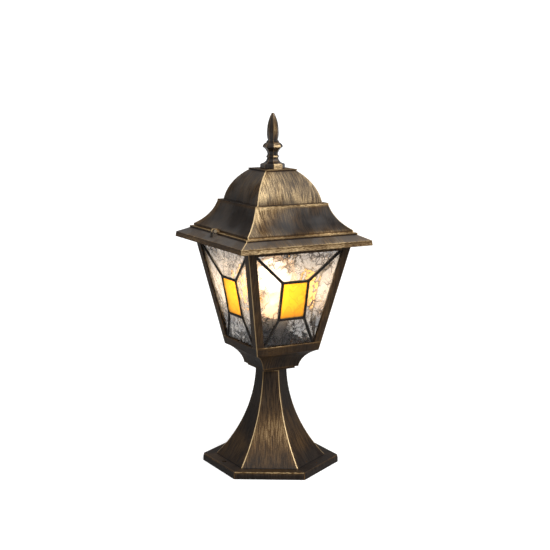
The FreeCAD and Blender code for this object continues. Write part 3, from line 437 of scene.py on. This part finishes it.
def hammered_pane(piece, seed, material, slot):
    """Glass between a CAD glass's corners: straight lines between them, with hammer marks on both faces."""
    (outer, inner), normal, level, rise = corners_of(piece)
    columns, rows = (int(np.linalg.norm(outer[a] - outer[b]) / GLASS_STEP) + 2 for a, b in ((0, 1), (1, 2)))
    u, v = (axis[..., None] for axis in np.meshgrid(np.linspace(0, 1, columns), np.linspace(0, 1, rows)))
    grids = []
    for loop, sign, depth in ((outer, 1, MARK_DEPTH), (inner, -1, INNER_SHARE * MARK_DEPTH)):
        grid = (1 - v) * ((1 - u) * loop[0] + u * loop[1]) + v * ((1 - u) * loop[3] + u * loop[2])
        marks = hammer_marks(grid @ level, grid @ rise, MARK_SIZE, seed + sign)
        grids.append(grid + sign * depth * (marks - marks.mean())[..., None] * normal)
    new_piece("hammered_" + piece, *shell(*grids), material, LANTERN, slot, piece)


# Rolled glass, with painted refraction: dark crooked lines round small pits and where the sheet is folded,
# and the share of a deeper colour, both painted shade of the surround seen through the glass; and the share
# of the bulb's light that scatters, painted on as a glow. The glow is a flattened ball round the bulb, so
# distances to its middle count less on the level than upwards.
GLOW_CENTRE, GLOW_SCALE = (0.0, 0.0, 0.233), (0.75, 0.75, 1.75)
GLOW_END, GLOW_FULL = 0.102, 0.038
WARP_DENSITY, CLOUD_DENSITY, FOLD_DENSITY = 0.9, 0.4, 0.42
WARP_REACH, LINES_LOST_IN_GLOW = 0.006, 0.4

ripple_group, given, result = effect(
    "rolled ripples", {"Position": "Vector", "Pit size": "Float"},
    {"Refraction lines": "Float", "Deeper refraction": "Float", "Lit": "Float", "Height": "Float"})
tree, place = ripple_group, given["Position"]
density = calc(tree, "DIVIDE", 1.0, given["Pit size"])
warp = add(tree, "ShaderNodeTexNoise", {"Vector": place, "Scale": times(tree, density, WARP_DENSITY)})
shift = add(tree, "ShaderNodeVectorMath", {0: warp.outputs["Color"], "Scale": WARP_REACH}, operation="SCALE")
crooked = add(tree, "ShaderNodeVectorMath", {0: place, 1: shift.outputs[0]}).outputs[0]
pits = add(tree, "ShaderNodeTexVoronoi", {"Vector": crooked, "Scale": density}, feature="DISTANCE_TO_EDGE")
cloud = grain(tree, place, scale=times(tree, density, CLOUD_DENSITY), detail=3.0)
# Painted refraction: dark lines on the pits' edges and where the sheet is folded, standing for the surround
# seen through the glass.
pit_refraction_lines = times(tree, fade(tree, pits.outputs[0], 0.085, 0.03), fade(tree, cloud, 0.52, 0.61))
sheet = grain(tree, crooked, scale=times(tree, density, FOLD_DENSITY))
fold_refraction = fade(tree, calc(tree, "ABSOLUTE", minus(tree, sheet, 0.5)), 0.014, 0.005)

flat = add(tree, "ShaderNodeVectorMath", {0: place, 1: GLOW_SCALE}, operation="MULTIPLY").outputs[0]
flat_centre = tuple(a * b for a, b in zip(GLOW_CENTRE, GLOW_SCALE))
far = add(tree, "ShaderNodeVectorMath", {0: flat, 1: flat_centre}, operation="DISTANCE")
lit = fade(tree, far.outputs["Value"], GLOW_END, GLOW_FULL)
kept = scaled(tree, lit, -LINES_LOST_IN_GLOW, 1.0)
tree.links.new(times(tree, calc(tree, "MAXIMUM", pit_refraction_lines, fold_refraction), kept), result["Refraction lines"])
tree.links.new(times(tree, fade(tree, sheet, 0.49, 0.53), kept), result["Deeper refraction"])
tree.links.new(lit, result["Lit"])
tree.links.new(scaled(tree, cloud, 1.5, fade(tree, pits.outputs[0], 0.0, 0.35)), result["Height"])


def cathedral_glass(name, *, pale, deep, line, lit, refraction_line_share, rough, pit_size):
    """Glass whose colour drifts from pale to deep, with darker ripple lines, both painted refraction shade.

    The bulb's light scattering in it is painted on as a faint glow, less on the lines."""
    material, tree, shader = new_material(name, Transmission_Weight=1.0, IOR=1.5, Roughness=rough,
                                          Emission_Strength=1.0)
    ripple = use(tree, ripple_group, {"Position": position(tree), "Pit size": pit_size})
    # Painted refraction shade: the deeper colour and the dark lines.
    tint_with_refraction = mix(tree, ripple["Deeper refraction"], pale, deep)
    lines = times(tree, ripple["Refraction lines"], refraction_line_share)
    tree.links.new(mix(tree, lines, tint_with_refraction, line), shader["Base Color"])
    glow = times(tree, ripple["Lit"], minus(tree, 1.0, lines))
    # Painted glow: the bulb's light scattered in the glass, set as emission.
    tree.links.new(mix(tree, glow, BLACK, lit), shader["Emission Color"])
    emboss(tree, shader, ripple["Height"], strength=0.22, depth=0.0006)
    return material


clear = cathedral_glass(
    "clear cathedral glass", pale=(0.97, 0.93, 0.88, 1.0), deep=(0.70, 0.70, 0.71, 1.0),
    line=(0.10, 0.08, 0.07, 1.0), lit=(0.25, 0.185, 0.12, 1.0), refraction_line_share=1.0, rough=0.05, pit_size=0.0095)
amber = cathedral_glass(
    "amber cathedral glass", pale=(0.92, 0.44, 0.02, 1.0), deep=(0.85, 0.34, 0.012, 1.0),
    line=(0.70, 0.24, 0.01, 1.0), lit=(0.72, 0.35, 0.016, 1.0), refraction_line_share=0.45, rough=0.55, pit_size=0.0110)

WALLS = ("front", "right", "back", "left")
for number, wall in enumerate(WALLS, start=1):
    for count, cell in enumerate(("top", "bottom", "left", "right")):
        hammered_pane(f"{wall}_{cell}_glass", 100 * number + 10 * count, clear, "clear_glass")
    hammered_pane(f"{wall}_amber_glass", 100 * number + 70, amber, "amber_glass")

# Lead cames: strips of drawn lead round the amber glass, round the whole panel and from corner to corner.
# They are soldered where they meet, and blackened. A finished panel is dropped into the frame from above.
CAME_HALF_WIDTH, CAME_HALF_DEPTH, CAME_HALF_HEART = 0.0019, 0.0026, 0.0005
CAME_STEP, CAME_FEWEST_RINGS, CAME_SIDES, CAME_SQUARING = 0.004, 6, 16, 0.7
# Wavers of a strip's width: share of the width, and radians per metre.
LONG_WAVER, SHORT_WAVER = (0.05, 400.0), (0.04, 970.0)
JOINT_HALF_WIDTH, JOINT_HALF_DEPTH, JOINT_LOBE = 0.0026, 0.0029, 0.14
JOINT_RINGS, JOINT_SIDES, JOINT_POLE = 11, 20, 0.06
LEAD, WORN_LEAD = (0.006, 0.005, 0.004, 1.0), (0.034, 0.026, 0.020, 1.0)


def squarer(wave):
    """Sine or cosine drawn out towards 1 and -1: its sign, times its size to a power below 1."""
    return np.sign(wave) * np.abs(wave) ** CAME_SQUARING


def came_strip(start, end, normal, seed):
    """Lead strip from start to end: a rounded flat section carried along the line.

    The section is an oval with squared sides. Its width wavers along the line by the sum of a long and a
    short sine."""
    length = np.linalg.norm(end - start)
    along = (end - start) / length
    across = np.cross(normal, along)
    rings = max(CAME_FEWEST_RINGS, int(length / CAME_STEP))
    share = np.linspace(0, 1, rings)[:, None, None]
    (long, long_rate), (short, short_rate) = LONG_WAVER, SHORT_WAVER
    waver = 1 + long * np.sin(long_rate * length * share + seed)
    waver = waver + short * np.sin(short_rate * length * share + 2 * seed)
    angle = np.linspace(0, math.tau, CAME_SIDES, endpoint=False)[None, :, None]
    flat = squarer(np.cos(angle)) * across * CAME_HALF_WIDTH
    thick = squarer(np.sin(angle)) * normal * CAME_HALF_DEPTH
    points = (start + share * (end - start) + waver * flat + thick).reshape(-1, 3)
    index = np.arange(rings * CAME_SIDES).reshape(rings, CAME_SIDES)
    ahead = np.roll(index, -1, axis=1)
    quads = np.stack([index[:-1], ahead[:-1], ahead[1:], index[1:]], axis=-1).reshape(-1, 4)
    return points, list(quads) + [index[0, ::-1], index[-1]]


def solder_joint(centre, normal, level, rise, seed):
    """Blob of solder: a flattened ball whose radius wavers with a sine in three lobes."""
    turn = np.linspace(0, math.tau, JOINT_SIDES, endpoint=False)[None, :, None]
    tilt = np.linspace(JOINT_POLE, math.pi - JOINT_POLE, JOINT_RINGS)[:, None, None]
    radius = JOINT_HALF_WIDTH * (1 + JOINT_LOBE * np.sin(3 * turn + seed))
    ball = radius * np.sin(tilt) * (np.cos(turn) * level + np.sin(turn) * rise)
    points = (centre + ball + JOINT_HALF_DEPTH * np.cos(tilt) * normal).reshape(-1, 3)
    index = np.arange(JOINT_RINGS * JOINT_SIDES).reshape(JOINT_RINGS, JOINT_SIDES)
    ahead = np.roll(index, -1, axis=1)
    quads = np.stack([index[:-1], index[1:], ahead[1:], ahead[:-1]], axis=-1).reshape(-1, 4)
    return points, list(quads) + [index[0], index[-1, ::-1]]


def lead_came(wall, number, material):
    """Came of one panel, on the middle plane of its glass.

    The inner ring lies half a heart outside the amber glass's corners, and the outer ring on the outer
    corners of the bottom and top glasses. Strips follow both rings and join their corners, with solder on
    each corner."""
    loops, normal, level, rise = corners_of(f"{wall}_amber_glass")
    amber_corners = np.mean(loops, axis=0)
    plane = np.stack([level, rise])
    outward = np.sign((amber_corners - amber_corners.mean(axis=0)) @ plane.T) @ plane
    inner = amber_corners + CAME_HALF_HEART * outward
    low, high = (np.mean(corners_of(f"{wall}_{cell}_glass")[0], axis=0) for cell in ("bottom", "top"))
    outer = np.concatenate([low[:2], high[2:]])
    lines = [pair for ring in (inner, outer) for pair in zip(ring, np.roll(ring, -1, axis=0))]
    lines += list(zip(inner, outer))
    parts = [came_strip(a, b, normal, i + number) for i, (a, b) in enumerate(lines)]
    parts += [solder_joint(corner, normal, level, rise, i) for i, corner in enumerate([*inner, *outer])]
    starts = np.cumsum([0] + [len(points) for points, faces in parts])
    all_points = np.concatenate([points for points, faces in parts])
    all_faces = [face + start for (points, faces), start in zip(parts, starts) for face in faces]
    new_piece(f"leading_{wall}", all_points, all_faces, material, LANTERN, "lead_came", f"{wall}_came")


lead, tree, shader = new_material("blackened lead", Specular_IOR_Level=0.25)
patina = grain(tree, position(tree), scale=350.0, detail=4.0, rough=0.6)
tree.links.new(mix(tree, fade(tree, patina, 0.4, 0.75), LEAD, WORN_LEAD), shader["Base Color"])
tree.links.new(scaled(tree, patina, 0.4, 0.25), shader["Roughness"])
emboss(tree, shader, patina, strength=0.3, depth=0.0004)
for number, wall in enumerate(WALLS, start=1):
    lead_came(wall, number, lead)

# Bulb: a lit opal globe on a nickelled cap, which screws into the holder's shell. It lights the inside with
# its full strength; where it is seen, also through glass, it is far dimmer, so that its round form shows.
CAP_TOP, CAP_BLEND, NECK_HEIGHT = 0.1895, 0.0005, 0.045
NICKEL, OPAL = (0.55, 0.53, 0.50, 1.0), (0.90, 0.86, 0.80, 1.0)
LIGHT_OF_NECK, LIGHT_OF_GLOBE = (0.2, 0.14, 0.09, 1.0), (1.0, 0.74, 0.48, 1.0)
SEEN_NECK = (0.018, 0.010, 0.005, 1.0)
SEEN_GLOBE, SEEN_LIMB = (0.083, 0.067, 0.050, 1.0), (0.015, 0.010, 0.006, 1.0)
bulb, tree, shader = new_material("lit opal bulb", Roughness=0.2, Emission_Strength=36.0)
height = add(tree, "ShaderNodeSeparateXYZ", {0: position(tree)}).outputs["Z"]
globe = fade(tree, height, CAP_TOP - CAP_BLEND, CAP_TOP + CAP_BLEND)
above_neck = fade(tree, height, CAP_TOP, CAP_TOP + NECK_HEIGHT)
tree.links.new(mix(tree, globe, NICKEL, OPAL), shader["Base Color"])
tree.links.new(minus(tree, 1.0, globe), shader["Metallic"])
limb = fade(tree, tree.nodes.new("ShaderNodeLayerWeight").outputs["Facing"], 0.0, 0.45)
seen_colour = mix(tree, above_neck, SEEN_NECK, mix(tree, limb, SEEN_GLOBE, SEEN_LIMB))
light_colour = mix(tree, above_neck, LIGHT_OF_NECK, LIGHT_OF_GLOBE)
path = tree.nodes.new("ShaderNodeLightPath").outputs
seen_in_glass = calc(tree, "MAXIMUM", path["Is Transmission Ray"], path["Is Glossy Ray"])
seen = calc(tree, "MAXIMUM", path["Is Camera Ray"], seen_in_glass)
light = mix(tree, seen, light_colour, seen_colour)
tree.links.new(mix(tree, globe, BLACK, light), shader["Emission Color"])
paint(bulb, "bulb")

# Eave: a square casting that sits on the frame's top, with a rim, a sloping ledge and a low step. Two ears
# cast on the left ledge hold the hinge's pin, which is aged brass.
EAVE_GOLD = [
    # rim, and its bright upper edge
    (0.1920, 0.54, 0.7, ALONG), (0.1955, 0.74, 0.7, ALONG, 0.2), (0.1985, 0.60, 0.7, ALONG, 0.2),
    (0.1996, 0.22, 0.7, ALONG), (0.2004, 1.05, 0.8, ALONG),
    # ledge, and the crease where the step begins, in painted shade
    (0.2014, 0.42, 0.9, DOWN), (0.2090, 0.27, 0.9, DOWN), (0.2180, 0.25, 0.9, DOWN),
    (0.2194, 0.14, 0.9, ALONG), (0.2200, 0.00, 0.9, ALONG), (0.2206, 0.10, 0.9, ALONG),
    # side and top of the step, then the plain inside
    (0.2213, 0.62, 0.9, ALONG), (0.2224, 0.62, 0.9, ALONG), (0.2236, 1.40, 0.5, ALONG),
    (0.2256, 1.40, 0.0, ALONG), (0.2262, 0.12, 0.0, ALONG), (0.2600, 0.10, 0.0, ALONG)]
AGED_BRASS, DULL_AGED_BRASS = (0.86, 0.76, 0.58, 1.0), (0.55, 0.44, 0.28, 1.0)
# Its front and right sides get more gold than its left and back, partly painted light and shade.
paint(casting("bronze on the eave", 4, 1.0, EAVE_GOLD, ridge_width=0.0012, ridge_spread=0.006,
              side_phase=1.25, slate=2.0, side_share=0.30), "eave")
paint(plated("aged pin brass", AGED_BRASS, DULL_AGED_BRASS, 0.3), "hinge_pin")

# Roof: a hollow square casting, a flared skirt below and a cushion dome above, hinged on the left side. The
# brushed gold is heaviest on the dome, on the four hips and along the crest.
ROOF_GOLD = [
    # lip, and the groove above it
    (0.2180, 2.60, 0.5, ALONG), (0.2258, 0.90, 0.9, ALONG), (0.2268, 0.80, 0.9, ALONG),
    (0.2276, 0.22, 0.9, ALONG),
    # skirt
    (0.2290, 0.46, 1.0, DOWN, 0.2), (0.2340, 0.30, 1.0, DOWN, 0.6), (0.2470, 0.22, 1.0, DOWN, 1.0),
    (0.2620, 0.37, 1.0, DOWN, 1.0), (0.2770, 0.50, 1.0, DOWN, 0.8),
    # crest, shoulder, and the crease where the dome begins, in painted shade
    (0.2812, 0.85, 1.0, ALONG, 0.3), (0.2828, 0.65, 0.9, ALONG, 0.2), (0.2836, 0.14, 0.6, ALONG),
    (0.2866, 0.14, 0.8, ALONG), (0.2879, 0.00, 0.8, ALONG),
    # dome
    (0.2890, 0.42, 1.0, DOWN), (0.2950, 0.56, 1.0, DOWN, 0.1), (0.3050, 0.60, 1.0, DOWN, 0.1),
    (0.3290, 0.54, 1.0, DOWN, 0.1), (0.3470, 0.42, 1.0, DOWN, 0.1),
    # crease round the flat top, in painted shade, and the top
    (0.3496, 0.00, 0.9, ALONG), (0.3512, 0.60, 0.3, ALONG), (0.3720, 0.50, 0.0, ALONG)]
# Its front and right sides get more gold than its left and back, partly painted light and shade.
paint(casting("bronze on the roof", 4, 1.0, ROOF_GOLD, ridge_width=0.0016, ridge_spread=0.016,
              side_phase=1.25, slate=1.15), "roof")

# Finial: an eight-sided casting with base, ring, knob and bud, its edges brushed with gold. It alone has a
# coat of clear lacquer. One screw from below, with a washer, holds it on the roof's flat top.
FINIAL_GOLD = [
    # base, and the crease on it, in painted shade
    (0.3728, 0.50, 0.3, ALONG), (0.3770, 0.60, 0.4, ALONG), (0.3785, 0.90, 0.4, ALONG),
    (0.3797, 0.00, 0.3, ALONG),
    # ring, between two hollows in painted shade
    (0.3820, 0.15, 0.3, ALONG), (0.3860, 0.00, 0.3, ALONG), (0.3875, 0.80, 0.3, ALONG),
    (0.3896, 0.00, 0.3, ALONG),
    # knob with its rubbed edge, and the hollow above it, in painted shade
    (0.3980, 0.12, 0.3, ALONG), (0.4000, 0.95, 0.4, ALONG), (0.4020, 0.50, 0.3, ALONG),
    (0.4060, 0.00, 0.3, ALONG),
    # bud
    (0.4100, 0.12, 0.3, DOWN), (0.4190, 0.52, 0.3, DOWN), (0.4300, 0.34, 0.3, DOWN),
    (0.4400, 0.40, 0.3, ALONG)]
# Painted light and shade: with this side share the front side has the densest gold as a painted highlight,
# and the sides beside it are darker.
paint(casting("bronze on the finial", 8, 0.0, FINIAL_GOLD, ridge_width=0.0006, ridge_spread=0.002,
              side_phase=0.9, slate=0.3, side_share=0.95, gloss=0.8), "finial")

# Studio: a wide pale floor, a white surround, one large soft sun high in front and a little to the right,
# and a camera at the photograph's angle. None of it belongs to the lamp.
FLOOR_HALF = 60.0
FLOOR_DULL, FLOOR_PALE = (0.44, 0.44, 0.44, 1.0), (0.47, 0.47, 0.47, 1.0)
FLOOR_SEEN = (0.74, 0.74, 0.74, 1.0)
LIGHT_FROM_BELOW, MORE_FROM_ABOVE, SEEN_THROUGH_GLASS = 0.12, 0.36, 0.38
SUN_STRENGTH, SUN_SOFTNESS = 3.2, math.radians(50)
SUN_LEAN, SUN_TURN = math.radians(42), math.radians(6)
VIEW_TURN, VIEW_RISE, VIEW_ROLL = math.radians(-29.13), math.radians(10.71), math.radians(-0.42)
VIEW_TARGET, VIEW_DISTANCE = np.array([0.0, 0.0, 0.22]), 1.5765
SENSOR_WIDTH, FOCAL_PIXELS, FRAME_PIXELS, TARGET_PIXEL = 36.0, 1266.5, 550, (273.4, 291.1)

corners = FLOOR_HALF * np.array([[-1, -1, 0], [1, -1, 0], [1, 1, 0], [-1, 1, 0]])
floor_mesh = bpy.data.meshes.new("floor")
floor_mesh.from_pydata(corners.tolist(), [], [(0, 1, 2, 3)])
floor = bpy.data.objects.new("floor", floor_mesh)
bpy.context.collection.objects.link(floor)
floor_material, tree, shader = new_material("pale floor", Roughness=0.9, Specular_IOR_Level=0.1,
                                            Emission_Strength=1.0)
tone = mix(tree, grain(tree, position(tree), scale=3.0), FLOOR_DULL, FLOOR_PALE)
tree.links.new(tone, shader["Base Color"])
seen = tree.nodes.new("ShaderNodeLightPath").outputs["Is Camera Ray"]
tree.links.new(mix(tree, seen, BLACK, FLOOR_SEEN), shader["Emission Color"])
floor_mesh.materials.append(floor_material)

# Seen directly the surround is white, and through glass it is greyer. As a light it is dimmer still, and
# dimmest from below, so that forms keep their shade.
world = bpy.data.worlds.new("studio")
bpy.context.scene.world = world
world.use_nodes = True
tree = world.node_tree
direction = tree.nodes.new("ShaderNodeTexCoord").outputs["Generated"]
height = add(tree, "ShaderNodeSeparateXYZ", {0: direction}).outputs["Z"]
light = scaled(tree, fade(tree, height, -0.1, 0.9), MORE_FROM_ABOVE, LIGHT_FROM_BELOW)
path = tree.nodes.new("ShaderNodeLightPath").outputs
light = scaled(tree, path["Is Transmission Ray"], SEEN_THROUGH_GLASS, light)
background = tree.nodes["Background"].inputs
tree.links.new(calc(tree, "ADD", path["Is Camera Ray"], light), background["Strength"])
background["Color"].default_value = (1.0, 1.0, 1.0, 1.0)

sun = bpy.data.lights.new("soft sun", "SUN")
sun.energy, sun.angle = SUN_STRENGTH, SUN_SOFTNESS
sun_holder = bpy.data.objects.new("soft sun", sun)
bpy.context.collection.objects.link(sun_holder)
sun_holder.rotation_euler = (SUN_LEAN, 0.0, SUN_TURN)

back = np.array([math.sin(VIEW_TURN) * math.cos(VIEW_RISE), -math.cos(VIEW_TURN) * math.cos(VIEW_RISE),
                 math.sin(VIEW_RISE)])
lens = bpy.data.cameras.new("camera")
lens.sensor_width = SENSOR_WIDTH
lens.lens = SENSOR_WIDTH * FOCAL_PIXELS / FRAME_PIXELS
lens.shift_x = (FRAME_PIXELS / 2 - TARGET_PIXEL[0]) / FRAME_PIXELS
lens.shift_y = (TARGET_PIXEL[1] - FRAME_PIXELS / 2) / FRAME_PIXELS
camera = bpy.data.objects.new("camera", lens)
bpy.context.collection.objects.link(camera)
camera.location = VIEW_TARGET + VIEW_DISTANCE * back
camera.rotation_euler = (math.pi / 2 - VIEW_RISE, VIEW_ROLL, VIEW_TURN)
bpy.context.scene.camera = camera
bpy.context.scene.view_settings.view_transform = "Standard"
